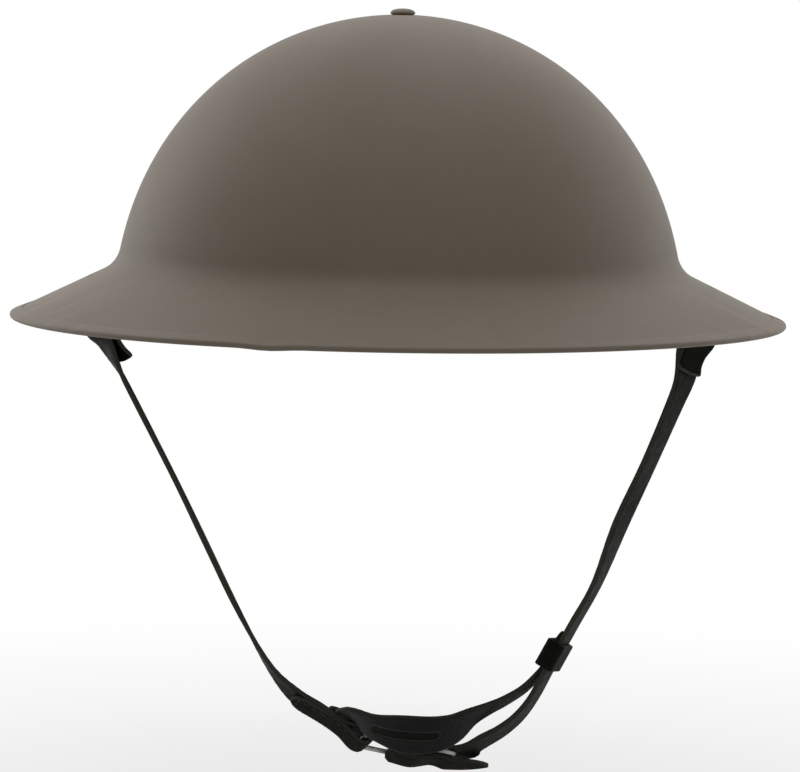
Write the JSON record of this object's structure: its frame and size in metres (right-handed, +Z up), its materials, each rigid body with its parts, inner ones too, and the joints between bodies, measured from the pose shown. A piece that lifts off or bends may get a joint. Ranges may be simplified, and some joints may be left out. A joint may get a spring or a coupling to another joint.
{
  "type": "wide-brimmed steel helmet",
  "caption": "Pressed steel helmet with a round bowl and a wide sloping brim, a riveted leather liner and a buckled leather chin strap.",
  "frame": {"origin": "where the crown of the head bears on the liner's tongues", "axes": "+Z up, -Y to the front of the helmet, +X to the wearer's left"},
  "size_m": [0.292, 0.311, 0.2872],
  "materials": {
    "shell_paint": "matt",
    "dark_steel": "satin",
    "buckle_steel": "dull",
    "liner_brass": "dull",
    "strap_leather": "satin",
    "chin_leather": "satin",
    "liner_leather": "matt",
    "band_leather": "matt",
    "webbing": "matt",
    "buffer_rubber": "matt",
    "felt": "matt",
    "cord_cotton": "matt"
  },
  "bodies": {
    "helmet": {"shell": "shell_paint", "rim_strip": "shell_paint", "crown_rivet": "shell_paint", "crown_washer": "buckle_steel", "cradle_strip_sideways": "webbing", "cradle_strip_lengthways": "webbing", "outer_band": "band_leather", "cradle_rivets": "liner_brass", "rubber_buffers": "buffer_rubber", "buffer_rivets": "liner_brass", "head_band": "liner_leather", "head_band_rivets": "liner_brass", "liner_tongues": "liner_leather", "drawstring": "cord_cotton", "crown_pad": "felt", "left_lug": "dark_steel", "right_lug": "dark_steel", "lug_rivets": "shell_paint"},
    "chin_strap": {"left_bail": "dark_steel", "right_bail": "dark_steel", "left_strap": "strap_leather", "right_strap": "strap_leather", "chin_piece": "chin_leather", "buckle_frame": "buckle_steel", "buckle_slide_bar": "buckle_steel"},
    "keeper": {"strap_keeper": "chin_leather"}
  },
  "joints": [
    {"name": "chin_strap_swing", "type": "hinge", "parent": "helmet", "child": "chin_strap", "pos_m": [0, 0, -0.0846], "axis": [1, 0, 0], "range_deg": [-70, 70]},
    {"name": "keeper_slide", "type": "slide", "parent": "chin_strap", "child": "keeper", "axis": [0.4752, 0, 0.8799], "range_m": [0, 0.02]}
  ]
}
